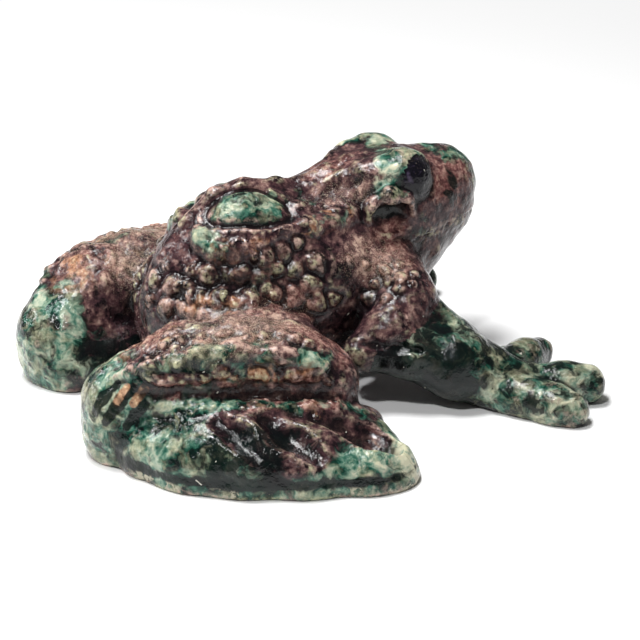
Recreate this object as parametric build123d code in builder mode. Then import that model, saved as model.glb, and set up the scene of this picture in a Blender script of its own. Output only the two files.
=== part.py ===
"""A glazed earthenware frog, crouching with its head raised.

The fired object is one piece of pottery. It is modelled as the clay members that it is built up from
before firing: a hollow body and head, limbs pressed separately and luted on, and small applied pellets,
coils and bosses. Members meet face to face along their luted seams.

Millimetres. +X towards the snout, +Y towards the frog's left, +Z up. The origin is on the ground, under
the middle of the object. Every paired member is made on the left and mirrored to the right.
"""

from build123d import *
import os

# ---- Body and head ----
WALL = 7.0  # thickness of the pressed clay wall
BELLY_Z = 8.0  # height of the body's open rim above the ground
HOLLOW_LENGTH = 0.86  # length of the body's hollow, as a share of the body's own

# Body sections: x, half width, half width at the rim, height of the widest point, top
BODY = [
    (-63.0, 5.0, 4.0, 18.0, 27.0),
    (-58.0, 17.0, 14.0, 22.0, 42.0),
    (-49.0, 26.0, 21.0, 26.0, 61.0),
    (-38.0, 31.0, 26.0, 31.0, 75.0),
    (-20.0, 35.0, 29.0, 34.0, 80.5),
    (0.0, 37.0, 30.0, 34.0, 78.0),
    (20.0, 35.0, 27.0, 34.0, 75.0),
    (36.0, 29.0, 21.0, 34.0, 66.0),
    (47.0, 21.0, 14.0, 31.0, 52.0),
    (54.0, 10.0, 7.0, 26.0, 38.0),
]
# Head sections: x, half width, bottom, top
HEAD = [
    (4.0, 12.0, 50.0, 75.5),
    (20.0, 20.5, 38.0, 84.0),
    (36.0, 23.0, 32.0, 87.0),
    (50.0, 24.0, 30.0, 88.0),
    (62.0, 22.0, 36.0, 88.0),
    (74.0, 17.5, 44.0, 86.0),
    (83.0, 12.0, 53.0, 81.0),
    (88.5, 5.0, 62.0, 72.0),
]

# ---- Limbs: x, y, z of each section's centre, its half width and half height ----
THIGH = [
    (-46.0, 12.0, 34.0, 16.0, 16.0),
    (-37.0, 24.0, 32.0, 19.0, 21.0),
    (-23.0, 40.0, 27.0, 18.0, 23.0),
    (-8.0, 57.0, 20.0, 15.0, 22.0),
    (3.0, 69.0, 14.0, 8.0, 14.0),
]
SHANK = [
    (5.0, 77.0, 10.0, 5.0, 9.0),
    (-7.0, 71.0, 14.0, 14.0, 25.0),
    (-28.0, 62.0, 17.0, 18.0, 30.0),
    (-54.0, 53.0, 18.0, 19.0, 31.0),
    (-75.0, 45.0, 15.0, 18.0, 27.5),
    (-90.0, 38.0, 12.0, 14.0, 20.0),
    (-98.0, 34.0, 9.0, 6.0, 9.0),
]
FOOT = [
    (-95.0, 40.0, 0.0, 7.0, 11.0),
    (-86.0, 47.0, 0.0, 15.0, 21.0),
    (-72.0, 58.0, 0.0, 19.0, 27.0),
    (-54.0, 72.0, 0.0, 22.0, 27.0),
    (-34.0, 85.0, 0.0, 22.0, 24.0),
    (-15.0, 97.0, 0.0, 19.0, 18.0),
    (-4.0, 103.0, 0.0, 12.0, 11.0),
    (0.0, 105.0, 0.0, 6.0, 7.0),
]
UPPER_ARM = [
    (46.0, 21.0, 42.0, 11.0, 12.0),
    (41.0, 33.0, 37.0, 13.5, 15.0),
    (28.0, 41.0, 30.0, 13.0, 14.0),
    (14.0, 45.0, 24.0, 10.5, 11.0),
    (6.0, 47.0, 21.0, 5.0, 6.0),
]
FOREARM = [
    (5.0, 44.0, 19.0, 5.5, 5.5),
    (14.0, 47.0, 19.0, 9.5, 9.0),
    (30.0, 52.0, 18.0, 11.5, 12.5),
    (45.0, 57.0, 15.0, 12.0, 13.5),
    (58.0, 62.0, 9.0, 12.0, 11.5),
    (69.0, 67.0, 5.0, 12.5, 8.5),
    (77.0, 70.5, 3.5, 7.0, 5.5),
]
# Fingers, outermost first: x, y of the root, x, y of the tip, and the radius
FINGERS = [
    (66.0, 74.0, 79.0, 100.0, 7.2),
    (72.0, 71.0, 98.5, 84.0, 6.6),
    (73.0, 65.0, 101.0, 47.0, 5.6),
    (66.0, 59.0, 84.0, 37.0, 5.2),
]
FINGER_Z = 4.5  # height of a finger's axis: its underside is pressed flat on the ground
# Hollows between the toe ridges: x, y, z of the middle, half length, and turn in degrees
TOE_HOLLOWS = [
    (-56.0, 78.0, 24.5, 11.0, 68.0),
    (-37.0, 89.0, 20.5, 11.0, 60.0),
    (-18.0, 100.0, 13.5, 11.0, 40.0),
]
TOE_HOLLOW_R = 3.5

# ---- Eyes and ears ----
EYE_AT = (46.0, 13.5, 79.5)
EYE_R = 10.5
LID_THICKNESS = 1.8
EYE_LOOKS = (0.62, 0.76, -0.18)  # direction in which the eyeball faces out of its lid
LID_EDGE = 0.15  # distance of the lid's edge in front of the eyeball's middle, in eyeball radii
EAR_AT = (35.0, 22.0, 65.0)
EAR_R = 6.5
EAR_RIM_R = 2.2
EAR_TILT = -80.0

# ---- Applied clay ----
BOSS_AT = (-19.0, 13.0, 74.5)
BOSS_HALF = (19.5, 10.0, 7.0)
BOSS_TILT = -24.0
SPINE = [(-50.0, 1.2), (-42.0, 2.4), (-30.0, 3.2), (-18.0, 3.4), (-6.0, 3.0), (4.0, 2.0)]  # x and radius
# Fold of skin from behind the eye to the hip: x, height and radius
DORSAL_FOLD = [(23.0, 62.0, 2.0), (12.0, 62.0, 3.4), (-2.0, 62.0, 3.8), (-16.0, 62.0, 3.8),
               (-30.0, 59.0, 3.4), (-41.0, 53.0, 2.0)]

# Pellets on the body's flank: x, height and radius
FLANK_WARTS = [
    (-48.0, 44.0, 2.6), (-43.0, 36.0, 2.4), (-39.0, 47.0, 3.0), (-35.0, 38.0, 2.4), (-30.0, 51.0, 3.2),
    (-27.0, 43.0, 2.8), (-19.0, 53.0, 3.6), (-16.0, 44.0, 3.0), (-8.0, 54.0, 3.2), (-4.0, 45.0, 3.2),
    (3.0, 53.0, 3.6), (9.0, 45.0, 3.0), (13.0, 52.0, 3.2), (-9.0, 36.0, 2.6), (4.0, 36.0, 2.8),
]
# Pellets on the top and outer face of the shank: x, y and radius
SHANK_WARTS = [
    (-85.0, 46.0, 3.0), (-77.0, 51.0, 3.0), (-68.0, 55.0, 3.2), (-59.0, 58.0, 3.6), (-50.0, 61.0, 3.0),
    (-41.0, 64.0, 3.6), (-32.0, 68.0, 3.2), (-23.0, 70.0, 3.4), (-14.0, 73.0, 2.8), (-64.0, 47.0, 2.6),
    (-52.0, 51.0, 2.8), (-40.0, 55.0, 2.6), (-27.0, 60.0, 2.8),
]
OUTSIDE = 200.0  # a distance that is outside the object in any direction


def along(stations, i):
    """Plane across a limb at station i, with its x direction level."""
    before = Vector(*stations[max(i - 1, 0)][:3])
    after = Vector(*stations[min(i + 1, len(stations) - 1)][:3])
    heading = (after - before).normalized()
    return Plane(origin=stations[i][:3], x_dir=heading.cross(Vector(0, 0, 1)), z_dir=heading)


def limb(stations):
    """A limb lofted through ellipses and cut off level with the ground."""
    with BuildPart() as made:
        for i, (_, _, _, half_width, half_height) in enumerate(stations):
            with BuildSketch(along(stations, i)):
                Ellipse(half_width, half_height)
        loft()
        split(bisect_by=Plane.XY, keep=Keep.TOP)
    return made.part


def across(x, z=0.0):
    """Plane across the body at x, with its x direction along the frog's Y."""
    return Plane(origin=(x, 0, z), x_dir=(0, 1, 0), z_dir=(1, 0, 0))


def body_loft(inset, length=1.0):
    """The body inside its skin by inset: the hollow also runs that far down, out through the rim."""
    with BuildPart() as made:
        for x, half_width, rim, widest_z, top in BODY:
            side = half_width - inset
            foot = rim - inset
            if foot < 0.5 * inset:
                continue
            with BuildSketch(across(x * length, -inset)):
                with BuildLine():
                    Spline((foot, BELLY_Z), (side, widest_z), (0, top), (-side, widest_z), (-foot, BELLY_Z))
                    Line((-foot, BELLY_Z), (foot, BELLY_Z))
                make_face()
        loft()
    return made.part


def head_loft(inset):
    """The head inside its skin by inset."""
    with BuildPart() as made:
        for x, half_width, bottom, top in HEAD:
            if half_width < 2 * inset:
                continue
            with BuildSketch(across(x, (bottom + top) / 2)):
                Ellipse(half_width - inset, (top - bottom) / 2 - inset)
        loft()
    return made.part


def ellipsoid(half_sizes, location):
    with BuildPart() as made:
        Sphere(1)
        scale(by=half_sizes)
    return made.part.moved(location)


def joined(*shapes):
    with BuildPart() as whole:
        for shape in shapes:
            add(shape)
    return whole.part


def pressed_on(shape, *others):
    """The member without the volume of the members that it is pressed against."""
    with BuildPart() as trimmed:
        add(shape)
        for other in others:
            add(other, mode=Mode.SUBTRACT)
    return trimmed.part


def both_sides(shape):
    return joined(shape, mirror(shape, about=Plane.XZ))


def on_flank(shape, x, z):
    """The outermost point of a shape's left side at this x and height."""
    hits = shape.find_intersection_points(Axis((x, OUTSIDE, z), (0, -1, 0)))
    return max((point for point, _ in hits), key=lambda point: point.Y)


def on_top(shape, x, y):
    """The highest point of a shape at this x and y."""
    hits = shape.find_intersection_points(Axis((x, y, OUTSIDE), (0, 0, -1)))
    return max((point for point, _ in hits), key=lambda point: point.Z)


def pellets(places, *clay):
    """A group of balls of clay, each sunk to its middle in the members under it."""
    with BuildPart() as balls:
        for place, radius in places:
            with Locations(place):
                Sphere(radius)
        for member in clay:
            add(member, mode=Mode.SUBTRACT)
    return balls.part


def write(name, shape):
    shape.label = name
    export_step(shape, f"parts/{name}.step")


def write_pair(name, left):
    """Writes a left member, and its mirror image for the right side."""
    write(f"left_{name}", left)
    write(f"right_{name}", mirror(left, about=Plane.XZ))


os.makedirs("parts", exist_ok=True)

# ---- Body shell and head, hollow, with the head's hollow opening into the body's ----
body_solid = body_loft(0)
head_solid = head_loft(0)
hollow = joined(body_loft(WALL, HOLLOW_LENGTH), head_loft(WALL))

with BuildPart() as eyeball:
    with Locations(EYE_AT):
        Sphere(EYE_R)
    add(hollow, mode=Mode.SUBTRACT)

with BuildPart() as ear_pit:
    with Locations(EAR_AT):
        Sphere(EAR_R - EAR_RIM_R)

write("body_shell", pressed_on(body_solid, hollow))
write("head", pressed_on(head_solid, body_solid, hollow, both_sides(eyeball.part), both_sides(ear_pit.part)))

# ---- Eyes, lids and ears ----
with BuildPart() as eyelid:
    with Locations(EYE_AT):
        Sphere(EYE_R + LID_THICKNESS)
        Sphere(EYE_R, mode=Mode.SUBTRACT)
    split(bisect_by=Plane(origin=EYE_AT, z_dir=EYE_LOOKS).offset(LID_EDGE * EYE_R), keep=Keep.BOTTOM)
    add(head_solid, mode=Mode.SUBTRACT)

with BuildPart() as ear_rim:
    with Locations(Location(EAR_AT, (EAR_TILT, 0, 0))):
        Torus(EAR_R, EAR_RIM_R)
    add(head_solid, mode=Mode.SUBTRACT)
    add(body_solid, mode=Mode.SUBTRACT)

write_pair("eyeball", eyeball.part)
write_pair("eyelid", eyelid.part)
write_pair("ear_rim", ear_rim.part)

# ---- Hind legs ----
thigh_solid = limb(THIGH)
shank_solid = limb(SHANK)
toe_hollows = joined(
    *(
        ellipsoid((half_length, TOE_HOLLOW_R, TOE_HOLLOW_R), Location((x, y, z), (0, 0, turn)))
        for x, y, z, half_length, turn in TOE_HOLLOWS
    )
)
write_pair("thigh", pressed_on(thigh_solid, body_solid))
write_pair("shank", pressed_on(shank_solid, thigh_solid, body_solid))
write_pair("foot", pressed_on(limb(FOOT), shank_solid, thigh_solid, body_solid, toe_hollows))

# ---- Forelegs, with four fingers each ----
upper_arm_solid = limb(UPPER_ARM)
forearm_solid = limb(FOREARM)

write_pair("upper_arm", pressed_on(upper_arm_solid, body_solid, head_solid))
write_pair("forearm", pressed_on(forearm_solid, upper_arm_solid, body_solid, thigh_solid))

hand = [forearm_solid]
for number, (root_x, root_y, tip_x, tip_y, radius) in enumerate(FINGERS, start=1):
    root = Vector(root_x, root_y, FINGER_Z)
    heading = (Vector(tip_x, tip_y, FINGER_Z) - root).normalized()
    tip = Vector(tip_x, tip_y, FINGER_Z) - heading * radius
    with BuildPart() as finger:
        with Locations(Plane(origin=root, z_dir=heading)):
            Cylinder(radius, (tip - root).length, align=(Align.CENTER, Align.CENTER, Align.MIN))
        with Locations(tip):
            Sphere(radius)
        split(bisect_by=Plane.XY, keep=Keep.TOP)
    write_pair(f"finger_{number}", pressed_on(finger.part, *hand))
    hand.append(finger.part)

# ---- Bosses, spine, folds and pellets ----
boss_solid = ellipsoid(BOSS_HALF, Location(BOSS_AT, (BOSS_TILT, 0, 0)))
spine_solid = limb([(x, 0.0, on_top(body_solid, x, 0.0).Z, radius, radius) for x, radius in SPINE])
fold_places = [(on_flank(body_solid, x, z), radius) for x, z, radius in DORSAL_FOLD]
fold_solid = limb([(*place, radius, radius) for place, radius in fold_places])

write_pair("back_boss", pressed_on(boss_solid, body_solid))
write("spine_ridge", pressed_on(spine_solid, body_solid, head_solid, both_sides(boss_solid)))
write_pair("dorsal_fold", pressed_on(fold_solid, body_solid, head_solid, boss_solid, thigh_solid))

flank_places = [(on_flank(body_solid, x, z), radius) for x, z, radius in FLANK_WARTS]
shank_places = [(on_top(shank_solid, x, y), radius) for x, y, radius in SHANK_WARTS]
write_pair("flank_warts", pellets(flank_places, body_solid, fold_solid, thigh_solid, upper_arm_solid))
write_pair("shank_warts", pellets(shank_places, shank_solid, thigh_solid))
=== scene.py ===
"""Looks of the glazed ceramic frog figure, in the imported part's frame.

The figure is sculpted once as a field of signed distances in millimetres on a grid. The field is then cut
into one closed piece for each CAD node, so that neighbouring pieces share their seams.
"""
import math

import bpy
import numpy as np
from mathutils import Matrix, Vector


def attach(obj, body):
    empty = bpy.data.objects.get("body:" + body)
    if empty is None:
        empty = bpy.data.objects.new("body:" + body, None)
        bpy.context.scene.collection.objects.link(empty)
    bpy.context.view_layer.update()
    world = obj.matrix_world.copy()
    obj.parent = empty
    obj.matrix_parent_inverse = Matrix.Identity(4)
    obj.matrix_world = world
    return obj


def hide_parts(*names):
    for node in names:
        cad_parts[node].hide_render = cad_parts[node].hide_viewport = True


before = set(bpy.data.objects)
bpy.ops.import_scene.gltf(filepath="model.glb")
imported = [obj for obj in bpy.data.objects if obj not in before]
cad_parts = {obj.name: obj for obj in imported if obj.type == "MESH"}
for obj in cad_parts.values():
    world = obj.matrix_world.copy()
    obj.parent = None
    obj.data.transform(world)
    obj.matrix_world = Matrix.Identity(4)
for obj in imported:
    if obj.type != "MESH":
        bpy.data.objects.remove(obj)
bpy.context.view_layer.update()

# ---- Driving values, in millimetres unless a name says otherwise ----
STEP = 0.75  # grid spacing
REACH = (108.0, 120.0, 97.0)  # half length, half width and height of the grid
BAND = 5.0  # the field is exact this close to the skin
WALL = 7.0  # clay thickness of the hollow body
BELLY_Z = 8.0  # height of the body's rim over the ground
FINE_REACH = 1.3  # the curvature of warts and edges is taken over this distance
WIDE_REACH = 4.5  # and that of creases over this one
COARSEN = 4  # the grid for values far from the skin is this much coarser
SEED = 11

EYE = (47, 14, 79.5)
EYE_R = 10.4
LID_R = 11.2
EYE_LOOKS = (0.36, 0.90, -0.20)  # direction that the eye looks in
LID_EDGE = 1.8  # distance of the lid's edge in front of the eye's middle

# Stations of the round-ended limbs on the left side: x, y, z and radius
# BROW runs from the eye to the neck, and each KEEL fills a limb down to the ground
BROW = [(43, 13, 81, 9.5), (37, 13, 81, 7.6), (29, 10, 81, 5.2), (20, 7, 78, 4), (6, 6, 74.5, 3)]
THIGH = [(-38, 22, 32, 16.5), (-24, 42, 26.5, 17), (-17, 56, 23, 14)]
SHANK = [(-17, 65, 23, 14), (-28, 60, 29, 17), (-46, 52, 31.5, 18), (-64, 47, 29, 18.5),
         (-83.5, 38, 17.8, 17.3)]
SHANK_KEEL = [(-2, 66, 1, 10), (-14, 66, 5, 12), (-34, 60, 10, 20), (-62, 50, 10, 18), (-84, 39, 5, 15)]
HEEL_KEEL = [(-82, 28, 7, 13), (-60, 32, 8, 15)]
FOOT = [(-78, 54, 6, 15), (-66, 66, 5, 18.3), (-53, 76.5, 6, 18.6), (-36, 88, 4, 16.3), (-15, 99, 3, 13),
        (-9, 102, 2, 10.5)]
INSTEP = [(-44, 66, 10, 14), (-24, 73, 9, 14), (-13, 80, 5, 12.5), (-8, 88, 1, 11), (-6, 96, 0, 9)]
UPPER_ARM = [(35, 25, 41, 14), (34, 35, 36, 13.5), (24, 43, 28, 12), (11, 45, 23, 8)]
FOREARM = [(11, 46, 22, 6), (30, 52, 20.5, 10.5), (45, 57, 15.5, 14), (58, 62.5, 9.5, 12), (69, 68, 6.5, 9.5)]
BICEPS = [(38, 37, 31, 11), (50, 49, 19, 10.5), (60, 59, 11, 9)]
FINGERS = [
    [(60, 70, 6.5, 9.5), (72, 88.5, 4.6, 8.4), (75, 94, 4.4, 7.2)],
    [(66, 68, 6.5, 8.5), (84, 77, 7, 8.3), (92, 80.5, 6.6, 7.7)],
    [(62, 58, 9, 7.5), (84, 50, 8, 7), (93, 46.5, 6.8, 6.4)],
    [(60, 58, 5, 7), (74, 45, 4.4, 5.2), (81, 40, 4, 5)],
]

MEMBERS = ["body_shell", "head", "thigh", "shank", "foot", "upper_arm", "forearm", "finger_1", "finger_2",
           "finger_3", "finger_4", "eyeball", "eyelid"]
DETAILS = ["spine_ridge", "back_boss", "dorsal_fold", "ear_rim", "flank_warts", "shank_warts"]
MIDDLE = ("body_shell", "head", "spine_ridge")  # nodes with no left and right

CAMERA_AT = (-0.2629, -0.5402, 0.2721)  # metres
CAMERA_AIM = (0.00786, -0.0152, 0.0257)
FLOOR_HALF = 8.0  # metres


# ---- Fields: signed distance, negative inside the clay ----
def ball(p, centre, radius):
    return np.linalg.norm(p - np.float32(centre), axis=1) - np.float32(radius)


def egg(p, centre, radii):
    q = p - np.float32(centre)
    radii = np.float32(radii)
    near = np.linalg.norm(q / radii, axis=1)
    slope = np.linalg.norm(q / radii ** 2, axis=1) + np.float32(1e-6)
    return near * (near - 1) / slope


def cone(p, a, b):
    """Round-ended cone between two stations."""
    a = np.float32(a)
    b = np.float32(b)
    along = b[:3] - a[:3]
    q = p - a[:3]
    t = np.clip(q @ along / (along @ along), 0, 1)
    return np.linalg.norm(q - t[:, None] * along, axis=1) - (a[3] + t * (b[3] - a[3]))


def blend(a, b, k):
    """Union with a fillet about k wide."""
    h = np.maximum(k - np.abs(a - b), 0) / np.float32(k)
    return np.minimum(a, b) - h * h * np.float32(k / 4)


def rope(p, stations, k=3.0):
    field = cone(p, stations[0], stations[1])
    for a, b in zip(stations[1:], stations[2:]):
        field = blend(field, cone(p, a, b), k)
    return field


def ease(x, low, high):
    """0 at low, 1 at high, smooth between."""
    t = np.clip((x - low) / (high - low), 0, 1)
    return t * t * (3 - 2 * t)


def torso_field(p):
    field = egg(p, (-18.7, 0, 49), (30.9, 27, 33))
    field = blend(field, egg(p, (-40, 0, 34), (23, 25, 29)), 10)
    field = blend(field, egg(p, (2, 0, 38), (46, 36, 37)), 8)
    return blend(field, egg(p, (28, 0, 38), (30, 30, 30)), 8)


def head_field(p):
    field = egg(p, (46, 0, 63.5), (31, 23, 24.8))
    field = blend(field, egg(p, (20, 0, 62), (30, 18, 20)), 9)
    field = blend(field, ball(p, (70.5, 0, 69.8), 15.8), 9)
    field = blend(field, cone(p, (70, 0, 58, 13), (52, 0, 46, 16)), 8)
    return blend(field, cone(p, (52, 0, 46, 16), (36, 0, 44, 20)), 8)


def lid_field(p):
    """Skin over the top and back of the eye, cut off where the eye looks out."""
    ahead = (p - np.float32(EYE)) @ (np.float32(EYE_LOOKS) / np.linalg.norm(EYE_LOOKS))
    return np.maximum(ball(p, EYE, LID_R), ahead - LID_EDGE)


def hollow_field(p):
    """Inside of the body and head, with straight sides at the opening underneath."""
    q = p.copy()
    q[:, 2] = np.maximum(q[:, 2], 2 * BELLY_Z)
    return blend(torso_field(q), head_field(q), 7) + WALL


def figure(p):
    """Field of the bare figure at points of the left half, and the member that each point belongs to."""
    parts = {
        "body_shell": torso_field(p),
        "head": blend(head_field(p), rope(p, BROW), 5),
        "thigh": rope(p, THIGH),
        "shank": blend(blend(rope(p, SHANK), rope(p, SHANK_KEEL), 8), rope(p, HEEL_KEEL), 6),
        "foot": blend(rope(p, FOOT, 6), rope(p, INSTEP, 6), 6),
        "upper_arm": rope(p, UPPER_ARM),
        "forearm": blend(rope(p, FOREARM), rope(p, BICEPS), 5),
        "eyeball": ball(p, EYE, EYE_R),
        "eyelid": lid_field(p),
    }
    for number, stations in enumerate(FINGERS, 1):
        parts[f"finger_{number}"] = rope(p, stations)
    body = blend(parts["body_shell"], parts["head"], 7)
    body = np.maximum(body, BELLY_Z - p[:, 2])
    field = blend(body, parts["thigh"], 8)
    for name, k in (("shank", 5), ("foot", 3), ("upper_arm", 6), ("forearm", 3), ("finger_1", 2.5),
                    ("finger_2", 2.5), ("finger_3", 2.5), ("finger_4", 2.5), ("eyelid", 3), ("eyeball", 1)):
        field = blend(field, parts[name], k)
    field = np.maximum(field, -hollow_field(p))
    field = np.maximum(field, -p[:, 2])
    owner = np.argmin(np.stack([parts[name] for name in MEMBERS]), axis=0)
    return field, owner.astype(np.int16)


# ---- The grid that the figure is sculpted on ----
def hat_weights(fine, coarse):
    """Matrix that takes values at evenly spaced coarse places to the fine places, joined up straight."""
    spacing = coarse[1] - coarse[0]
    return np.clip(1 - np.abs(fine[:, None] - coarse[None, :]) / spacing, 0, 1).astype(np.float32)


def spread(values, wx, wy, wz):
    """Values on a grid of other places, given a matrix for each axis."""
    out = np.tensordot(values, wz, (2, 1))
    out = np.tensordot(out, wy, (1, 1)).transpose(0, 2, 1)
    return np.tensordot(wx, out, (1, 0))


class Clay:
    """The field and the owner of each grid point. Labels are places in names, and 0 is air."""

    def __init__(self):
        self.names = [""]
        for name in MEMBERS + DETAILS:
            self.names += [name] if name in MIDDLE else ["left_" + name, "right_" + name]
        half = int(REACH[1] / STEP)
        self.x = np.arange(-REACH[0], REACH[0], STEP, dtype=np.float32)
        self.y = (np.arange(-half, half + 1) * STEP).astype(np.float32)
        self.z = (np.arange(int(REACH[2] / STEP)) * STEP - 1.5 * STEP).astype(np.float32)
        self.low = np.array([self.x[0], self.y[0], self.z[0]], np.float32)
        self.throw(half)

    def throw(self, half):
        """Works out the left half, exact near the skin, and mirrors it to the right."""
        y = self.y[half:]
        rough = [axis[0] + np.arange(len(axis) // COARSEN + 2) * COARSEN * STEP
                 for axis in (self.x, y, self.z)]
        grid = np.stack(np.meshgrid(*rough, indexing="ij"), -1).reshape(-1, 3).astype(np.float32)
        far = figure(grid)[0].reshape([len(axis) for axis in rough])
        weights = [hat_weights(axis, coarse) for axis, coarse in zip((self.x, y, self.z), rough)]
        field = spread(far, *weights)
        owner = np.zeros(field.shape, np.int16)
        for i in range(len(self.x)):
            j, k = np.nonzero(field[i] < BAND)
            p = np.stack([np.full(len(j), self.x[i]), y[j], self.z[k]], axis=1).astype(np.float32)
            near = np.abs(field[i, j, k]) < BAND
            exact, member = figure(p)
            field[i, j[near], k[near]] = exact[near]
            owner[i, j, k] = member
        left = np.array([self.label(name, 1) for name in MEMBERS], np.int16)
        right = np.array([self.label(name, -1) for name in MEMBERS], np.int16)
        self.field = np.concatenate([field[:, :0:-1], field], axis=1)
        self.owner = np.concatenate([right[owner[:, :0:-1]], left[owner]], axis=1)

    def label(self, name, side):
        if name not in MIDDLE:
            name = ("left_" if side > 0 else "right_") + name
        return self.names.index(name)

    def block(self, low, high):
        """Slices of the grid between two corners, and the points there."""
        cuts = []
        for axis, a, b in zip((self.x, self.y, self.z), low, high):
            cuts.append(slice(max(int(np.searchsorted(axis, a)), 0), int(np.searchsorted(axis, b))))
        axes = [axis[cut] for axis, cut in zip((self.x, self.y, self.z), cuts)]
        return tuple(cuts), np.stack(np.meshgrid(*axes, indexing="ij"), -1).reshape(-1, 3)

    def around(self, stations, side, room):
        """The block round a chain of stations, with its points mirrored to the left side."""
        s = np.array(stations, float) * (1, side, 1, 1)
        reach = s[:, 3:].max() + room
        cuts, p = self.block(s[:, :3].min(0) - reach, s[:, :3].max(0) + reach)
        return cuts, p * np.float32((1, side, 1))

    def ridge(self, stations, k, name, side):
        """Adds a rope of clay with a fillet about k wide. It belongs to the node called name, if any."""
        cuts, p = self.around(stations, side, k + 1)
        shape = rope(p, stations).reshape(self.field[cuts].shape)
        if name:
            self.owner[cuts][(shape < 0.4) & (self.field[cuts] > -2.0)] = self.label(name, side)
        self.field[cuts] = blend(self.field[cuts], shape, k)

    def groove(self, stations, k, side):
        """Takes a rope away from the clay and rounds the edges by about k."""
        cuts, p = self.around(stations, side, k + 1)
        shape = rope(p, stations).reshape(self.field[cuts].shape)
        self.field[cuts] = -blend(-self.field[cuts], shape, k)

    def sample(self, values, p):
        """Values of a grid array at points, joined up straight."""
        q = (p - self.low) / STEP
        i = np.clip(q.astype(int), 0, np.array(values.shape) - 2)
        f = (q - i).astype(np.float32)
        out = np.zeros(len(p), np.float32)
        for corner in range(8):
            bits = np.array([corner & 1, corner >> 1 & 1, corner >> 2 & 1])
            weight = np.prod(np.where(bits, f, 1 - f), axis=1)
            out += weight * values[tuple((i + bits).T)]
        return out

    def slope(self, p):
        """Direction out of the clay at points, not yet of unit length."""
        out = np.empty((len(p), 3), np.float32)
        for axis in range(3):
            offset = np.zeros(3, np.float32)
            offset[axis] = STEP
            out[:, axis] = self.sample(self.field, p + offset) - self.sample(self.field, p - offset)
        return out / (2 * STEP)

    def nearer(self, p):
        """Points moved once towards the skin, without a leap where the field is nearly flat."""
        g = self.slope(p)
        return p - g * (self.sample(self.field, p) / np.maximum((g * g).sum(1), 0.2))[:, None]

    def skin(self, p):
        """The points of the skin nearest to p, and the directions out of it."""
        p = np.array(p, np.float32).reshape(-1, 3)
        for _ in range(6):
            p = self.nearer(p)
        g = self.slope(p)
        return p, g / np.linalg.norm(g, axis=1)[:, None]

    def laid(self, stations):
        """The chain of stations with more of them, each moved onto the skin."""
        s = np.array(stations, float)
        t = np.linspace(0, len(s) - 1, 4 * len(s))
        dense = np.stack([np.interp(t, np.arange(len(s)), column) for column in s.T], axis=1)
        dense[:, :3] = self.skin(dense[:, :3])[0]
        return dense

    def emboss(self, at, half, turn, depth, profile, name=None, side=1):
        """Raises the skin round a point by profile(r, u, v), where r is 1 on an oval's edge.

        The oval's half widths are in half, the first one turned by turn degrees from straight down the slope.
        Further than depth from the oval's plane the rise fades out. Where limbs blend and the field is less
        steep, the rise is less too, so that the wart isn't taller there.
        """
        p0, n = self.skin([at])
        p0, n = p0[0], n[0]
        down = np.array([0, 0, -1.0]) + n * n[2]
        down /= np.linalg.norm(down) + 1e-6
        across = np.cross(n, down)
        c, s = math.cos(math.radians(turn)), math.sin(math.radians(turn))
        u_way = c * down + s * across
        v_way = np.cross(n, u_way)
        reach = max(half) * 1.8  # room for a moat and a rim
        cuts, p = self.block(p0 - reach, p0 + reach)
        q = p - p0
        u, v, w = q @ u_way / half[0], q @ v_way / half[1], q @ n
        r = np.hypot(u, v)
        r = np.hypot(r, np.maximum(np.abs(w) - depth, 0) / 2.0)
        shape = self.field[cuts].shape
        steepness = min(1.0, float(np.linalg.norm(self.slope(p0[None])[0])))
        rise = profile(r, u, v * side).astype(np.float32).reshape(shape) * np.float32(steepness)
        if name:  # the node owns the oval, down to a little under the skin
            kept = ((r < 0.97) & (w > -1.5)).reshape(shape) & (self.field[cuts] < 3)
            self.owner[cuts][kept] = self.label(name, side)
        self.field[cuts] -= rise

    def roughen(self, size, height, rng):
        """Adds smooth uneven lumps of about a size, lower where the figure meets the ground."""
        coarse = [np.arange(axis[0] - size, axis[-1] + 2 * size, size) for axis in (self.x, self.y, self.z)]
        lumps = rng.uniform(-1, 1, [len(axis) for axis in coarse]).astype(np.float32)
        weights = []
        for axis, places in zip((self.x, self.y, self.z), coarse):
            w = hat_weights(axis, places)
            w = w * w * (3 - 2 * w)
            weights.append(w / w.sum(1, keepdims=True))
        fade = (0.3 + 0.7 * ease(self.z, 0, 8)) * height
        self.field += spread(lumps, *weights) * fade.astype(np.float32)
        self.field = np.maximum(self.field, -self.z)


def wart_profile(height, rng, moat=0.22):
    """Dome with an uneven outline and a shallow moat, which is a share of the height deep."""
    lobes = rng.integers(2, 4)
    phase = rng.uniform(0, 6.28)

    def profile(r, u, v):
        r = r * (1 + 0.1 * np.sin(lobes * np.arctan2(v, u) + phase))
        dome = np.clip(1 - r * r, 0, 1) ** 0.8 * height
        return dome - np.exp(-((r - 1.2) / 0.25) ** 2) * height * moat
    return profile


def boss_profile(r, u, v):
    """Low uneven dome, a groove round it and a raised rim that is strongest on the outer side."""
    turn = np.arctan2(v, u)
    r = r * (1 + 0.05 * np.sin(3 * turn + 1) + 0.03 * np.sin(7 * turn))
    dome = np.clip(1 - (r / 0.92) ** 2, 0, 1) ** 0.6 * (1.1 + 0.25 * np.sin(5 * u + 2) * np.sin(6 * v))
    groove = np.exp(-((r - 1.02) / 0.13) ** 2) * (0.95 + 0.35 * np.sin(2 * turn))
    rim = np.exp(-((r - 1.38) / 0.2) ** 2) * (0.8 + 0.4 * np.clip(u, -1, 1) + 0.25 * np.sin(9 * turn))
    return dome - groove + rim


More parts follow.
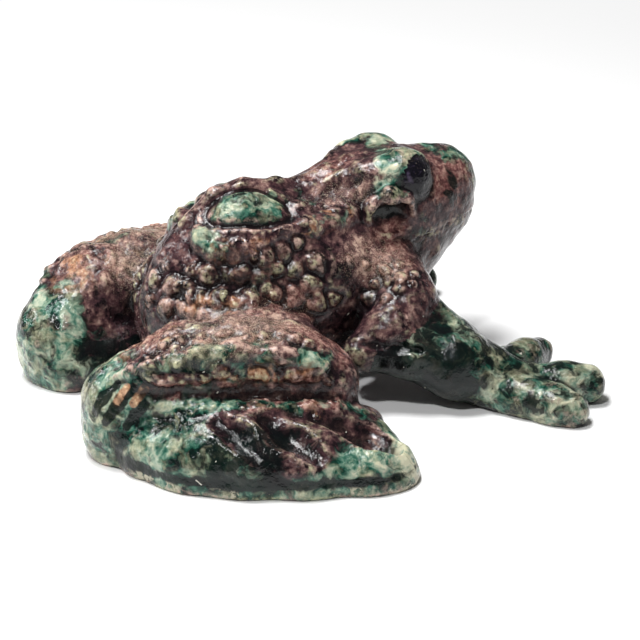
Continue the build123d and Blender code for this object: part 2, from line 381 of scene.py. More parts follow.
# ---- Sculpted details on both sides of the figure ----
FOLD = [(-42, 9.5, 68.5, 1.6), (-35, 17, 65.5, 2.2), (-25, 21.5, 65, 2.6), (-11, 22, 67, 2.6),
        (0, 21, 67.5, 2.6), (10, 19.5, 68, 2.6), (19, 18, 70, 2.2)]
NECK_VALLEY = [(0, 10.5, 79, 1.2), (8, 11.5, 79.5, 1.8), (17, 13, 80, 1.8), (24, 14.5, 81, 1.2)]
EAR_HOOD = [(26.5, 20.5, 67.5, 2.2), (28.5, 21, 72, 3.2), (35, 22, 75.5, 4), (41.5, 22.6, 73, 3.4),
            (44, 22.8, 68, 2.2)]
EAR_BRIM = [(28, 21.5, 62, 1.0), (33, 22.5, 59, 1.0), (39, 22.5, 60, 1.0)]
EAR_PIT = [(31.5, 24, 68.3, 4.9), (38.5, 24.3, 68.3, 5.2)]
EAR_BOWL = [(33, 26.4, 64.5, 5.4), (39, 26.4, 64.5, 5.4)]
SHANK_CREST = [(-88, 44, 32, 1.8), (-80, 54, 38, 2.4), (-64, 61, 42, 3), (-50, 65, 43, 3.2),
               (-36, 71, 41, 3.2), (-23, 75, 36, 2.6)]
SHANK_BAND = [(-84, 58, 30, 3), (-70, 67.5, 31, 4.2), (-50, 74, 30.5, 4.6), (-30, 80.5, 29, 4.4),
              (-17, 82, 26, 3)]
FOOT_LIP = [(-77, 60, 25, 2.4), (-66, 67, 24.5, 3), (-48, 75, 23.5, 3.2), (-30, 80, 21.5, 3.4),
            (-18, 80.5, 18, 3), (-9, 80, 14.5, 2.8), (-4, 84, 10, 2.6), (-2, 91, 6.5, 2.4)]
ARM_FOLD = [(4, 47, 29, 1.0), (12, 52.5, 28.5, 1.5), (21, 57, 27.5, 1.6), (28, 60, 26, 1.2)]
TOE_HOLLOWS = [
    [(-65, 78, 26.5, 4.6), (-61.5, 87, 23.5, 5.6), (-58, 95, 17.5, 3.6)],
    [(-48, 84.5, 26, 5), (-43.5, 93, 22.5, 6.2), (-38, 103, 16.5, 4.4)],
    [(-30, 86, 24, 3.8), (-21, 91, 21.5, 6.2), (-14, 97, 18, 8.6), (-10, 101, 14.5, 7)],
]
HEEL_STROKES = [[(-90, 48, 32, 0.3), (-95, 47, 28, 0.9), (-98, 46, 22, 0.5)],
                [(-85, 53, 32, 0.3), (-91, 52, 27, 1.1), (-96, 50, 19, 0.6)],
                [(-81, 58, 32, 0.3), (-86, 57, 25, 1.2), (-90, 55, 18, 0.4)]]
HEEL_SPOTS = [[(-87.5, 51, 31, 0.9), (-91.5, 51, 26.5, 1.0)], [(-83, 55.5, 31, 0.8), (-87, 55, 26.5, 0.9)]]
# The mouth is only hinted at: a rope with a radius below zero cuts nothing, its fillet marks the line
MOUTH = [(44, 23, 55, -0.3), (56, 22, 57, -0.3), (68, 17.5, 59, -0.3), (79, 10, 60, -0.3),
         (84.5, 0, 60.5, -0.3)]
NOSTRIL = [(83, 5.5, 73, 1.2), (85, 5.5, 73.5, 1.0)]
# The raised line along the back, from the hip to between the eyes
SPINE = [(-44, 0, 70, 1.5), (-30, 0, 79.5, 2.6), (-18, 0, 81, 3), (-4, 0, 80, 2.8), (6, 0, 79, 2.2)]
CROWN = [(8, 0, 79, 2), (18, 0, 81, 3), (29, 0, 84, 3), (38, 0, 85, 2)]
BOSS = (-21.5, 13, 77)
BOSS_HALF = (8.6, 16.5)
BOSS_TURN = 9  # degrees

# Rows of flank warts: height, first and last angle in degrees, half length and half width of the ring,
# degrees between warts
FLANK_ROWS = [(62, 152, 62, 29, 25, 13), (55.5, 168, 60, 35, 31, 11.5), (49, 172, 56, 41, 34, 10.5),
              (42.5, 174, 138, 45, 35, 10), (42.5, 76, 54, 45, 36, 10)]
FLANK_X = -15  # middle of the rings
# Rows of shank warts: start, bend and end of the row, number of warts and their size
SHANK_ROWS = [((-80, 56, 36), (-52, 72, 36), (-20, 79, 33), 12, 2.8),
              ((-74, 52, 46), (-48, 60, 50), (-24, 68, 43), 10, 2.6)]
# Crumbs along a rope: the rope, how many and how large
CRUST = [(FOLD, 26, 1.7), (SHANK_CREST, 44, 1.9), (FOOT_LIP[:5], 34, 1.4)]


def sculpt():
    """The bare figure with its unevenness and all its details."""
    clay = Clay()
    rng = np.random.default_rng(SEED)
    clay.roughen(17, 0.7, rng)
    clay.roughen(6, 0.3, rng)
    for side in (1, -1):
        clay.ridge(FOLD, 5, "dorsal_fold", side)
        clay.groove(NECK_VALLEY, 5, side)
        clay.ridge(EAR_HOOD, 1.5, "ear_rim", side)
        clay.groove(EAR_PIT, 1.5, side)
        clay.groove(EAR_BOWL, 2.5, side)
        clay.ridge(EAR_BRIM, 1.2, "ear_rim", side)
        clay.ridge(SHANK_CREST, 2.5, None, side)
        clay.groove(SHANK_BAND, 3, side)
        clay.ridge(FOOT_LIP, 2, None, side)
        clay.groove(ARM_FOLD, 2, side)
        for hollow in TOE_HOLLOWS:
            clay.groove(hollow, 1.2, side)
        clay.groove(clay.laid(MOUTH), 0.8, side)
        clay.groove(NOSTRIL, 1.2, side)
        boss_at = (BOSS[0], BOSS[1] * side, BOSS[2])
        clay.emboss(boss_at, BOSS_HALF, BOSS_TURN * side, 6, boss_profile, "back_boss", side)
        flank(clay, rng, side)
        shoulder(clay, rng, side)
        shank(clay, rng, side)
        crust(clay, rng, side)
        rump(clay, rng, side)
    clay.ridge(SPINE, 3, "spine_ridge", 1)
    clay.ridge(CROWN, 3.5, None, 1)
    base_rim(clay)
    clay.roughen(4.2, 0.26, rng)
    clay.roughen(2.4, 0.2, rng)
    return clay


def flank(clay, rng, side):
    """Rows of uneven warts round the side, from the hip to the shoulder."""
    for row, (z, start, end, length, width, turn) in enumerate(FLANK_ROWS):
        for angle in np.arange(start - turn / 2 * (row % 2), end, -turn):
            a = math.radians(angle + rng.normal(0, 2.4))
            at = (FLANK_X + length * math.cos(a), side * width * math.sin(a), z + rng.normal(0, 1.7))
            size = rng.uniform(2.6, 4.7)
            clay.emboss(at, (size * rng.uniform(1.0, 1.35), size), rng.uniform(-90, 90), 3,
                        wart_profile(rng.uniform(0.9, 2.0), rng), "flank_warts", side)


def shoulder(clay, rng, side):
    """A patch of smaller warts over the shoulder."""
    for row, z in enumerate((57, 51, 45)):
        for x in np.arange(15 + 2.8 * (row % 2), 37, 5.8):
            at = np.array([x, side * (38 + 3 * row), z]) + rng.normal(0, 1.0, 3)
            size = rng.uniform(1.7, 3.0)
            clay.emboss(at, (size * 1.15, size), rng.uniform(-40, 40), 3,
                        wart_profile(rng.uniform(0.7, 1.5), rng), "flank_warts", side)


def shank(clay, rng, side):
    """Two rows of rough blobs along the lower leg."""
    for first, middle, last, count, size in SHANK_ROWS:
        for t in np.linspace(0, 1, count):
            line = ((1 - t) ** 2 * np.array(first) + 2 * t * (1 - t) * np.array(middle)
                    + t * t * np.array(last))
            at = (line + rng.normal(0, 1.5, 3)) * (1, side, 1)
            here = size * rng.uniform(0.5, 1.2)
            clay.emboss(at, (here, here * rng.uniform(1.1, 1.7)), rng.uniform(-30, 30), 3,
                        wart_profile(rng.uniform(0.7, 1.5), rng), "shank_warts", side)


def crust(clay, rng, side):
    """Small crumbs of clay along the fold, the leg's crest and the lip of the foot."""
    for stations, crumbs, size in CRUST:
        s = np.array(stations, float)
        for t in rng.uniform(0, len(s) - 1.001, crumbs):
            i = int(t)
            at = s[i] + (t - i) * (s[i + 1] - s[i])
            place = (at[:3] + rng.normal(0, 1.8, 3)) * (1, side, 1)
            here = size * rng.uniform(0.6, 1.2)
            clay.emboss(place, (here, here * rng.uniform(1, 1.6)), rng.uniform(0, 180), 3,
                        wart_profile(rng.uniform(0.4, 0.9), rng, 0), None, side)


def rump(clay, rng, side):
    """Low blobs over the top and the inner side of the folded leg."""
    for _ in range(80):
        at = (rng.uniform(-92, -22), side * rng.uniform(24, 64), rng.uniform(36, 56))
        size = rng.uniform(1.8, 3.6)
        clay.emboss(at, (size * rng.uniform(1.2, 2.2), size), rng.uniform(-60, 60), 3,
                    wart_profile(rng.uniform(0.3, 0.8), rng, 0), None, side)


def base_rim(clay):
    """Shallow channel above the foot of each hind leg, where the glaze ran and pooled."""
    outward = ease(np.abs(clay.y), 40, 50)[None, :, None] * ease(clay.x, 8, -4)[:, None, None]
    clay.field += outward * 0.45 * np.exp(-((clay.z - 6.5) / 2.6) ** 2).astype(np.float32)


# ---- From the field to meshes ----
def skin_net(clay):
    """Cuts the sculpt into closed surfaces of four-sided faces, one for each node.

    Returns the shared vertices, and for each label its faces, which face outwards.
    """
    solid = np.where(clay.field < 0, clay.owner, 0).astype(np.int16)
    for axis in range(3):
        edge = [slice(None)] * 3
        for end in (0, -1):
            edge[axis] = end
            solid[tuple(edge)] = 0
    size = np.array(solid.shape) - 1
    corners = [(i, j, k) for i in (0, 1) for j in (0, 1) for k in (0, 1)]
    shifted = [solid[tuple(slice(b, b + n) for b, n in zip(bits, size))] for bits in corners]
    mixed = np.zeros(size, bool)
    for other in shifted[1:]:
        mixed |= other != shifted[0]
    cells = np.argwhere(mixed).astype(np.int32)
    number = np.full(size, -1, np.int32)
    number[mixed] = np.arange(len(cells), dtype=np.int32)
    total = np.zeros((len(cells), 3), np.float32)
    count = np.zeros(len(cells), np.float32)
    for a in corners:
        for axis in range(3):
            if a[axis]:
                continue
            b = tuple(1 if n == axis else c for n, c in enumerate(a))
            fa = clay.field[tuple((cells + a).T)]
            fb = clay.field[tuple((cells + b).T)]
            crossing = (fa < 0) != (fb < 0)
            t = np.where(crossing, fa / np.where(crossing, fa - fb, 1), 0)
            place = np.tile(np.float32(a), (len(cells), 1))
            place[:, axis] = t
            total += place * crossing[:, None]
            count += crossing
    middle = np.where(count[:, None] > 0, total / np.maximum(count, 1)[:, None], 0.5)
    points = clay.low + (cells + middle) * np.float32(STEP)
    outer = count > 0
    points[outer] = settle(clay, points[outer], cells[outer])
    faces = {}
    for axis in range(3):
        u, v = (axis + 1) % 3, (axis + 2) % 3
        step = np.eye(3, dtype=int)
        span = [slice(0, n) for n in solid.shape]
        a_cut, b_cut = list(span), list(span)
        a_cut[axis], b_cut[axis] = slice(0, -1), slice(1, None)
        a, b = solid[tuple(a_cut)], solid[tuple(b_cut)]
        at = np.argwhere(a != b)
        la, lb = a[tuple(at.T)], b[tuple(at.T)]
        ring = [number[tuple((at - du * step[u] - dv * step[v]).T)]
                for du, dv in ((1, 1), (0, 1), (0, 0), (1, 0))]
        quad = np.stack(ring, axis=1)
        for labels, quads in ((la, quad), (lb, quad[:, ::-1])):
            for label in np.unique(labels[labels > 0]):
                faces.setdefault(int(label), []).append(quads[labels == label])
    return points, {label: np.concatenate(lists) for label, lists in faces.items()}


def settle(clay, points, cells):
    """Moves vertices onto the skin, each within its own cell."""
    low = clay.low + cells * np.float32(STEP)
    for _ in range(2):
        points = np.clip(clay.nearer(points), low, low + np.float32(STEP))
    points[:, 2] = np.where(np.abs(points[:, 2]) < 0.3 * STEP, 0, points[:, 2])
    return points


def softened(field, cells):
    """The field averaged over a box of cells each way."""
    out = field
    for axis in range(3):
        n = cells * 2 + 1
        pad = [(0, 0)] * 3
        pad[axis] = (cells + 1, cells)
        run = np.cumsum(np.pad(out, pad, mode="edge"), axis=axis, dtype=np.float64)
        high, low = [slice(None)] * 3, [slice(None)] * 3
        high[axis], low[axis] = slice(n, None), slice(0, -n)
        out = ((run[tuple(high)] - run[tuple(low)]) / n).astype(np.float32)
    return out


def glow(p, centre, radii):
    """1 at a centre, 0 outside an oval."""
    q = (p - np.float32(centre)) / np.float32(radii)
    return np.clip(1 - (q * q).sum(1), 0, 1)


def near_ropes(p, ropes, fade):
    """1 inside any of the ropes, 0 at a distance."""
    inside = np.min([rope(p, stations) for stations in ropes], axis=0)
    return np.clip(1 - inside / fade, 0, 1)


# Brush strokes of each colour on the left side: amount, centre and half sizes. Some strokes are painted shade
# and some painted light, as marked below.
GREEN_STROKES = [(1.3, (-76, 84, 4), (34, 40, 30)), (1.2, (-98, 42, 14), (32, 44, 38)),
                 (1.4, (-6, 100, 4), (30, 22, 24)), (0.9, (-30, 108, 4), (34, 14, 12)),
                 (0.8, (-21, 15, 80), (20, 12, 12)), (0.35, (-34, 16, 70), (22, 14, 12)),
                 (0.9, (35, 22, 77), (11, 8, 6)), (0.9, (38, 18, 84), (10, 9, 9)),
                 (0.8, (43, 12, 90), (14, 14, 10)), (0.5, (74, 0, 86), (18, 20, 10))]
ROSE_STROKES = [(0.9, (-14, 62, 40), (26, 16, 16)), (0.7, (-20, 36, 44), (34, 12, 12)),
                (0.5, (-46, 62, 50), (44, 12, 10)), (0.8, (-70, 34, 48), (26, 18, 14)),
                (0.6, (26, 32, 54), (18, 16, 14)), (0.6, (22, 0, 84), (20, 10, 10)),
                (1.0, (36, 24, 62), (12, 10, 9)), (0.9, (64, 15, 77), (18, 14, 14))]
OCHRE_STROKES = [(0.65, (-50, 73, 36), (36, 12, 7)), (0.5, (-46, 28, 44), (20, 16, 10)),
                 (0.7, (-76, 38, 44), (20, 20, 12)), (0.7, (-10, 97, 16), (10, 8, 8))]
# Dark strokes are black glaze, except the one in the ear's pit at (35.5, 23, 68.5), which is painted shade
# under the hood
DARK_STROKES = [(0.85, (36, 52, 14), (40, 24, 20)), (0.6, (-58, 90, 15), (26, 16, 14)),
                (0.2, (-98, 42, 14), (30, 40, 34)), (1.5, (35.5, 23, 68.5), (9, 8, 4.5)),
                (0.75, (66, 19, 74), (6, 7, 14)), (-0.5, (-8, 101, 6), (26, 18, 22))]
PALE_STROKES = [(1.2, (-8, 101, 6), (26, 18, 22)), (0.6, (76, 92, 6), (16, 14, 14)),
                (0.5, (90, 80, 8), (16, 12, 12)), (0.25, (-92, 44, 18), (16, 26, 24)),
                (1.1, (36, 17, 84), (10, 9, 9)), (0.4, (-21, 15, 80), (18, 10, 10))]
# Sandy strokes: sandy speckle, and on the shoulder and the tops of the legs also painted light that lightens
# the body colour
SAND_AND_LIGHT_STROKES = [(0.9, (16, 14, 78), (26, 8, 12)), (0.8, (-30, 38, 46), (40, 10, 12)),
                (1.2, (24, 34, 56), (20, 18, 14)), (0.7, (-52, 30, 40), (14, 16, 20)),
                (1.2, (-36, 58, 48), (56, 18, 13)), (0.7, (-72, 34, 46), (26, 20, 14)),
                (0.5, (50, 10, 84), (20, 14, 12))]
POOL_Z = 5.8  # height of the glaze that pooled above the base of the foot


def brushed(p, strokes):
    """Total of the soft oval brush strokes of a colour."""
    return sum(amount * glow(p, centre, radii) for amount, centre, radii in strokes)


def painted(clay, points):
    """What the glaze does at each vertex: curvature, and how much of each colour was brushed there, with
    painted shade in the dark and painted light in the sandy strokes.
    """
    p = points.copy()
    p[:, 1] = np.abs(p[:, 1])  # both sides are painted alike
    x, y, z = p.T
    here = clay.sample(clay.field, points)
    fine = clay.sample(softened(clay.field, round(FINE_REACH / STEP)), points) - here
    wide = clay.sample(softened(clay.field, round(WIDE_REACH / STEP)), points) - here
    stroke = near_ropes(p, HEEL_STROKES, 1.5)
    spot = near_ropes(p, HEEL_SPOTS, 1.5)
    toe = near_ropes(p, TOE_HOLLOWS, 1.2)
    lip = near_ropes(p, [FOOT_LIP[1:]], 2)
    fold = near_ropes(p, [FOLD], 2.5)
    crest = near_ropes(p, [SHANK_CREST], 2.5)
    band = near_ropes(p, [SHANK_BAND], 2.5)
    hand = ease(x + y, 84, 106) * ease(z, 48, 30)
    foot = ease(y, 50, 66) * ease(x, 10, 0)
    pool = foot * np.exp(-((z - POOL_Z) / 2.0) ** 2)
    # Painted shade: darker towards the ground on the inner side of the lower leg
    painted_shade_low_leg = ease(z, 30, 8) * ease(y, 60, 40) * ease(x, -10, -30) * ease(x, -92, -78)
    return {
        "fine": fine,
        "wide": wide,
        "green": brushed(p, GREEN_STROKES) + 1.1 * hand + 0.5 * crest + 0.35 * fold + 0.5 * lip - 1.5 * toe,
        "rose": brushed(p, ROSE_STROKES) + 0.9 * band,
        "ochre": brushed(p, OCHRE_STROKES) + 1.6 * spot + 0.4 * lip + 0.6 * fold,
        "dark": brushed(p, DARK_STROKES) + 0.85 * stroke * (1 - spot) + 0.85 * pool + 0.6 * painted_shade_low_leg,
        "pale": brushed(p, PALE_STROKES),
        "sand": brushed(p, SAND_AND_LIGHT_STROKES),
        "chip": ease(z, 4.6, 2.2) * ease(y, 50, 62) * ease(x, 10, 0),
    }


# ---- Pieces ----
def make_piece(name, points, normals, faces, paint, material):
    """One closed mesh with its own vertices, its smooth normals and its paint."""
    used, inverse = np.unique(faces, return_inverse=True)
    quads = inverse.reshape(-1, 4).astype(np.int32)
    mesh = bpy.data.meshes.new("glazed_" + name)
    mesh.vertices.add(len(used))
    mesh.vertices.foreach_set("co", (points[used] / 1000).ravel())
    mesh.loops.add(quads.size)
    mesh.loops.foreach_set("vertex_index", quads.ravel())
    mesh.polygons.add(len(quads))
    mesh.polygons.foreach_set("loop_start", np.arange(0, quads.size, 4, dtype=np.int32))
    mesh.update(calc_edges=True)
    mesh.shade_smooth()
    mesh.normals_split_custom_set_from_vertices(normals[used])
    for key, values in paint.items():
        mesh.attributes.new(key, "FLOAT", "POINT").data.foreach_set("value", values[used].astype(np.float32))
    mesh.materials.append(material)
    piece = bpy.data.objects.new("glazed_" + name, mesh)
    bpy.context.scene.collection.objects.link(piece)
    return piece


def srgb(r, g, b):
    """Linear colour of screen values from 0 to 255."""
    values = [c / 255 for c in (r, g, b)]
    return tuple(c / 12.92 if c < 0.04045 else ((c + 0.055) / 1.055) ** 2.4 for c in values) + (1.0,)


class Recipe:
    """Adds shader nodes to a material, one call for each."""

    def __init__(self, name):
        self.material = bpy.data.materials.new(name)
        self.material.use_nodes = True
        self.tree = self.material.node_tree
        self.tree.nodes.clear()
        self.coord = self.tree.nodes.new("ShaderNodeTexCoord").outputs["Object"]

    def put(self, socket, value):
        """Links a socket to another one, or sets its value."""
        if isinstance(value, bpy.types.NodeSocket):
            self.tree.links.new(value, socket)
        else:
            socket.default_value = value

    def node(self, kind, inputs=(), **settings):
        made = self.tree.nodes.new(kind)
        for key, value in settings.items():
            setattr(made, key, value)
        for key, value in dict(inputs).items():
            self.put(made.inputs[key], value)
        return made

    def noise(self, size, detail, rough, coord=None):
        """Noise with spots of about a size in millimetres, spread over 0 to 1."""
        made = self.node("ShaderNodeTexNoise", {"Vector": coord or self.coord, "Scale": 1000 / size,
                                                "Detail": detail, "Roughness": rough})
        return self.span(made.outputs["Fac"], 0.31, 0.69)

    def span(self, value, low, high, top=1.0):
        """0 at low, top at high."""
        made = self.node("ShaderNodeMapRange", {"Value": value, "From Min": low, "From Max": high,
                                                "To Min": 0.0, "To Max": top})
        return made.outputs["Result"]

    def sum(self, a, b, factor=1.0):
        """a with factor times b added."""
        made = self.node("ShaderNodeMath", {0: b, 1: factor, 2: a}, operation="MULTIPLY_ADD")
        return made.outputs[0]

    def times(self, a, b):
        return self.node("ShaderNodeMath", {0: a, 1: b}, operation="MULTIPLY").outputs[0]

    def mix(self, fac, a, b):
        made = self.node("ShaderNodeMix", data_type="RGBA")
        self.put(made.inputs[0], fac)
        self.put(made.inputs[6], a)
        self.put(made.inputs[7], b)
        return made.outputs[2]

    def ramp(self, fac, stops):
        """Colour at fac along stops, each a place from 0 to 1 and a colour."""
        made = self.node("ShaderNodeValToRGB", {"Fac": fac})
        elements = made.color_ramp.elements
        while len(elements) < len(stops):
            elements.new(0.5)
        for element, (place, colour) in zip(elements, stops):
            element.position = place
            element.color = colour
        return made.outputs["Color"]

    def painted(self, name, more=0.0):
        """How much of a colour was brushed at the vertex, painted shade and painted light included, and more
        of it everywhere.
        """
        here = self.node("ShaderNodeAttribute", attribute_name=name).outputs["Fac"]
        return self.node("ShaderNodeMath", {0: here, 1: more}).outputs[0]

    def moved(self, coord, by):
        """Coordinates shifted, so that two noises of one kind differ."""
        return self.node("ShaderNodeVectorMath", {0: coord, 1: (by, by, by)}).outputs[0]


# Body colours, from hollows to raised places
AUBERGINE = [(0.0, srgb(8, 6, 8)), (0.3, srgb(28, 18, 22)), (0.55, srgb(66, 44, 47)),
             (0.8, srgb(120, 91, 86)), (1.0, srgb(190, 162, 146))]
WART = [(0.0, srgb(8, 7, 8)), (0.4, srgb(36, 26, 26)), (0.7, srgb(86, 60, 56)), (1.0, srgb(168, 132, 114))]
PUPIL = [(0.0, srgb(4, 4, 7)), (0.6, srgb(16, 14, 22)), (1.0, srgb(70, 60, 80))]


class Glaze(Recipe):
    """Noises that all layers share, and one method for each layer. A layer takes the colour below it."""

    def __init__(self, name):
        super().__init__(name)
        warp = self.node("ShaderNodeTexNoise", {"Vector": self.coord, "Scale": 110.0, "Detail": 2.0})
        shift = self.node("ShaderNodeVectorMath", {0: warp.outputs["Color"], 1: (0.5, 0.5, 0.5)},
                          operation="SUBTRACT")
        flow = self.node("ShaderNodeVectorMath", {0: shift.outputs[0], 1: (0.014, 0.014, 0.014),
                                                  2: self.coord}, operation="MULTIPLY_ADD")
        self.flow = flow.outputs[0]
        self.large = self.noise(15, 5, 0.62, self.flow)
        self.patch = self.noise(7, 5, 0.6, self.flow)
        self.second = self.noise(10, 4, 0.6, self.moved(self.flow, 0.31))
        self.third = self.noise(8, 4, 0.6, self.moved(self.flow, 0.77))
        self.tide = self.span(self.noise(11, 5, 0.6, self.moved(self.flow, 0.13)), 0.2, 0.8)
        self.ripple = self.noise(3.4, 3, 0.6)
        self.fine = self.noise(2.2, 5, 0.66)
        self.grain = self.noise(0.42, 2, 0.6)

    def body(self, tones, rose):
        """Body colour, lighter where the sandy strokes are, with rosy patches. That lightening is sandy
        glaze, and on the shoulder and the tops of the legs also painted light.
        """
        tone = self.sum(self.times(self.patch, 0.62), self.fine, 0.38)
        # Lighter under the sandy strokes: sandy glaze, and painted light on the shoulder and the leg tops
        colour = self.ramp(self.sum(tone, self.times(tone, self.painted("sand")), 0.32), tones)
        blush = self.ramp(self.fine, [(0.0, srgb(46, 22, 24)), (0.5, srgb(120, 78, 74)),
                                      (1.0, srgb(206, 164, 148))])
        here = self.span(self.sum(self.painted("rose", rose), self.second), 0.75, 1.3, 0.8)
        return self.mix(here, colour, blush)

    def green(self, colour, green, pale, light):
        """Green that ran like ink in water, from black through teal to grey-green, with cream in it."""
        depth = self.sum(self.times(self.tide, 0.76), self.fine, 0.18)
        leaf = self.ramp(self.sum(depth, self.painted("pale", light), 0.3),
                         [(0.0, srgb(2, 8, 7)), (0.24, srgb(6, 27, 22)), (0.42, srgb(18, 62, 50)),
                          (0.58, srgb(60, 102, 86)), (0.72, srgb(112, 138, 120)), (0.87, srgb(156, 168, 148)),
                          (1.0, srgb(200, 198, 172))])
        here = self.sum(self.painted("green", green), self.large)
        colour = self.mix(self.span(here, 0.8, 1.1), colour, leaf)
        cream = self.ramp(self.fine, [(0.0, srgb(92, 94, 74)), (0.5, srgb(156, 154, 126)),
                                      (1.0, srgb(212, 208, 180))])
        cream_here = self.times(self.span(here, 0.95, 1.25), self.span(self.second, 0.45, 0.85))
        return self.mix(self.times(cream_here, 0.8 * pale), colour, cream)

    def ochre(self, colour, ochre):
        """Ochre on raised spots."""
        rust = self.ramp(self.fine, [(0.0, srgb(90, 52, 40)), (0.6, srgb(178, 128, 96)),
                                     (1.0, srgb(232, 200, 160))])
        here = self.sum(self.painted("ochre", ochre), self.third)
        return self.mix(self.span(here, 1.0, 1.35, 0.8), colour, rust)

    def breaks_pools_and_painted_light(self, colour, crest):
        """The glaze turns pale over raised edges, partly a painted highlight, and pools near-black in hollows
        and creases, partly a painted shade.
        """
        # Pale on raised edges: the glaze thinning there, and a painted highlight on the ridges
        edge = self.times(self.span(self.painted("fine"), 0.05, 0.3), self.span(self.fine, 0.3, 0.8))
        break_and_highlight_colour = self.mix(self.span(self.large, 0.4, 0.6), srgb(204, 172, 158), srgb(190, 188, 152))
        colour = self.mix(self.times(edge, crest), colour, break_and_highlight_colour)
        # Near-black where the clay curves in: pooled glaze, and painted shade in the creases and hollows
        pool = self.sum(self.span(self.painted("wide"), -0.05, -1.1),
                        self.span(self.painted("fine"), 0.0, -0.22), 0.8)
        return self.mix(self.span(pool, 0.15, 1.0, 0.88), colour, srgb(12, 8, 11))

    def spills_and_painted_shade(self, colour, dark):
        """Near-black glaze that was brushed or spilled on, and painted shade in the ear's pit and on the
        inner side of the lower legs.
        """
        # Near-black for brushed glaze, and for painted shade in the ear's pit and on the inner lower legs
        ink = self.mix(self.large, srgb(8, 8, 12), srgb(6, 22, 18))
        spill_and_shade = self.sum(self.sum(self.painted("dark", dark), self.third, 0.8), self.fine, 0.2)
        return self.mix(self.span(spill_and_shade, 0.85, 1.12, 0.95), colour, ink)

    def cracks(self, colour):
        """Hair cracks in the pale green."""
        crack = self.node("ShaderNodeTexVoronoi", {"Vector": self.flow, "Scale": 95.0},
                          feature="DISTANCE_TO_EDGE")
        crack = self.times(self.span(crack.outputs["Distance"], 0.018, 0.004),
                           self.span(self.painted("pale"), 0.2, 0.7))
        return self.mix(self.times(crack, 0.6), colour, srgb(28, 40, 34))

    def chips(self, colour):
        """Chips along the edge of the base, and where they are."""
        chipped = self.times(self.span(self.painted("chip"), 0.1, 0.5),
                             self.span(self.sum(self.third, self.fine, 0.4), 0.84, 0.96))
        return self.mix(self.times(chipped, 0.85), colour, srgb(182, 176, 154)), chipped

    def specks(self, colour):
        """Sandy speckle in shallow valleys and sparse white specks, and where both are."""
        grit = self.sum(self.sum(self.grain, self.painted("sand"), 0.5), self.second, 0.3)
        grit = self.span(grit, 1.16, 1.4)
        colour = self.mix(self.times(grit, 0.5), colour, srgb(190, 168, 144))
        speck = self.node("ShaderNodeTexVoronoi", {"Vector": self.flow, "Scale": 110.0})
        speck = self.span(speck.outputs["Distance"], 0.055, 0.035)
        return self.mix(self.times(speck, 0.8), colour, srgb(226, 222, 208)), grit, speck

    def surface(self, colour, chipped, grit, speck):
        """Glassy surface with ripples, duller on chips and speckle."""
        height = self.sum(self.sum(self.times(self.fine, 0.2), grit, 0.2),
                          self.sum(self.times(speck, 0.4), self.ripple, 1.0))
        bump = self.node("ShaderNodeBump", {"Height": height, "Strength": 0.4, "Distance": 0.0008})
        rough = self.sum(self.sum(self.sum(0.06, self.fine, 0.06), grit, 0.22), chipped, 0.4)
        shader = self.node("ShaderNodeBsdfPrincipled", {"Base Color": colour, "Roughness": rough,
                                                        "Normal": bump.outputs[0], "Specular IOR Level": 0.26,
                                                        "Coat Weight": 0.12, "Coat Roughness": 0.05})
        self.node("ShaderNodeOutputMaterial", {"Surface": shader.outputs[0]})


def glaze(name, tones, green=0.0, dark=0.0, rose=0.0, ochre=0.0, crest=0.8, pale=1.0, light=0.0):
    """One glaze, from the body colour out to the specks.

    green, dark, rose and ochre add to how much of each was brushed on. crest is how far the glaze turns to
    its pale colour on raised edges, which is partly a painted highlight, pale is how much cream floats in the
    green, and light thins the green.
    """
    g = Glaze(name)
    colour = g.body(tones, rose)
    colour = g.green(colour, green, pale, light)
    colour = g.ochre(colour, ochre)
    colour = g.breaks_pools_and_painted_light(colour, crest)
    colour = g.spills_and_painted_shade(colour, dark)
    colour = g.cracks(colour)
    colour, chipped = g.chips(colour)
    colour, grit, speck = g.specks(colour)
    g.surface(colour, chipped, grit, speck)
    return g.material


def glazes():
    return {
        "glaze_aubergine": glaze("glaze_aubergine", AUBERGINE),
        "glaze_leg": glaze("glaze_leg", AUBERGINE, green=0.1, dark=0.15, pale=0.8),
        "glaze_hand": glaze("glaze_hand", AUBERGINE, green=0.4, dark=0.42, pale=0.8, light=0.1),
        "glaze_wart": glaze("glaze_wart", WART, ochre=0.1, crest=0.7),
        "glaze_boss": glaze("glaze_boss", AUBERGINE, green=0.28, dark=0.38, pale=0.7, light=-0.1),
        "glaze_lid": glaze("glaze_lid", AUBERGINE, green=0.9, light=0.15),
        "glaze_pupil": glaze("glaze_pupil", PUPIL, green=-3.0, rose=-2.0, ochre=-2.0, crest=0.0),
    }


# Nodes of each slot, without left and right
SLOTS = {
    "glaze_aubergine": ("body_shell", "head", "spine_ridge", "ear_rim", "thigh", "upper_arm", "dorsal_fold"),
    "glaze_leg": ("shank", "foot"),
    "glaze_hand": ("forearm", "finger_1", "finger_2", "finger_3", "finger_4"),
    "glaze_wart": ("flank_warts", "shank_warts"),
    "glaze_boss": ("back_boss",),
    "glaze_lid": ("eyelid",),
    "glaze_pupil": ("eyeball",),
}


def build_figure():
    """Sculpts the figure and puts a glazed piece in the place of each CAD node."""
    clay = sculpt()
    points, faces = skin_net(clay)
    normals = clay.slope(points)
    normals /= np.linalg.norm(normals, axis=1)[:, None] + np.float32(1e-6)
    paint = painted(clay, points)
    materials = glazes()
    for label, quads in sorted(faces.items()):
        node = clay.names[label]
        bare = node.replace("left_", "").replace("right_", "")
        slot = next(key for key, nodes in SLOTS.items() if bare in nodes)
        piece = make_piece(node, points, normals, quads, paint, materials[slot])
        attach(piece, "root")
        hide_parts(node)


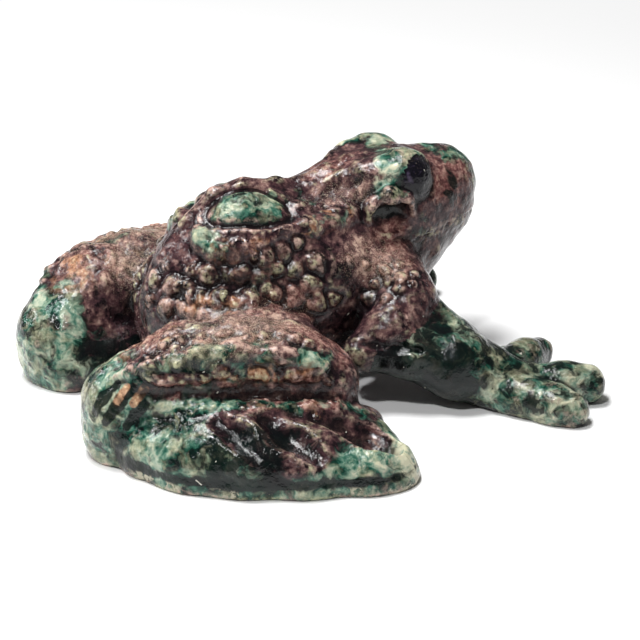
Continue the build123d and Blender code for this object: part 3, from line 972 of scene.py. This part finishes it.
def floor():
    """Pale floor that glows a little further out, so that it stays even behind the figure."""
    mesh = bpy.data.meshes.new("floor")
    corners = [(x * FLOOR_HALF, y * FLOOR_HALF, 0) for x, y in ((-1, -1), (1, -1), (1, 1), (-1, 1))]
    mesh.from_pydata(corners, [], [(0, 1, 2, 3)])
    r = Recipe("floor")
    away = r.node("ShaderNodeVectorMath", {0: r.coord}, operation="LENGTH").outputs["Value"]
    shader = r.node("ShaderNodeBsdfPrincipled", {"Base Color": (0.95, 0.95, 0.95, 1), "Roughness": 0.6,
                                                 "Emission Color": (1, 1, 1, 1),
                                                 "Emission Strength": r.span(away, 0.25, 1.4, 0.9)})
    r.node("ShaderNodeOutputMaterial", {"Surface": shader.outputs[0]})
    mesh.materials.append(r.material)
    made = bpy.data.objects.new("floor", mesh)
    made.location.z = -0.0003  # just under the figure's base, so that the two faces don't flicker
    bpy.context.scene.collection.objects.link(made)


def look(made, place, aim):
    """Puts an object at a place and turns it towards its aim."""
    made.location = place
    made.rotation_euler = (Vector(aim) - Vector(place)).to_track_quat("-Z", "Y").to_euler()
    bpy.context.scene.collection.objects.link(made)


def lamp(name, place, aim, size, watts):
    light = bpy.data.lights.new(name, "AREA")
    light.shape = "RECTANGLE"
    light.size, light.size_y = size
    light.energy = watts
    look(bpy.data.objects.new(name, light), place, aim)


def camera():
    data = bpy.data.cameras.new("camera")
    data.lens = 90
    data.sensor_width = 36
    made = bpy.data.objects.new("camera", data)
    look(made, CAMERA_AT, CAMERA_AIM)
    bpy.context.scene.camera = made


def studio():
    """Dim white surroundings, two soft lamps above and behind, and a small one for sparkle."""
    world = bpy.data.worlds.new("studio")
    world.use_nodes = True
    world.node_tree.nodes["Background"].inputs["Color"].default_value = (1, 1, 1, 1)
    world.node_tree.nodes["Background"].inputs["Strength"].default_value = 0.11
    bpy.context.scene.world = world
    bpy.context.scene.view_settings.view_transform = "Standard"
    lamp("overhead", (-0.12, 0.1, 0.85), (0, 0, 0.03), (0.3, 0.22), 8.5)
    lamp("back", (-0.7, 0.5, 0.5), (0, 0, 0.04), (0.2, 0.2), 4)
    lamp("key", (-0.35, -0.3, 0.7), (0, 0, 0.03), (0.06, 0.06), 2.8)


build_figure()
floor()
studio()
camera()
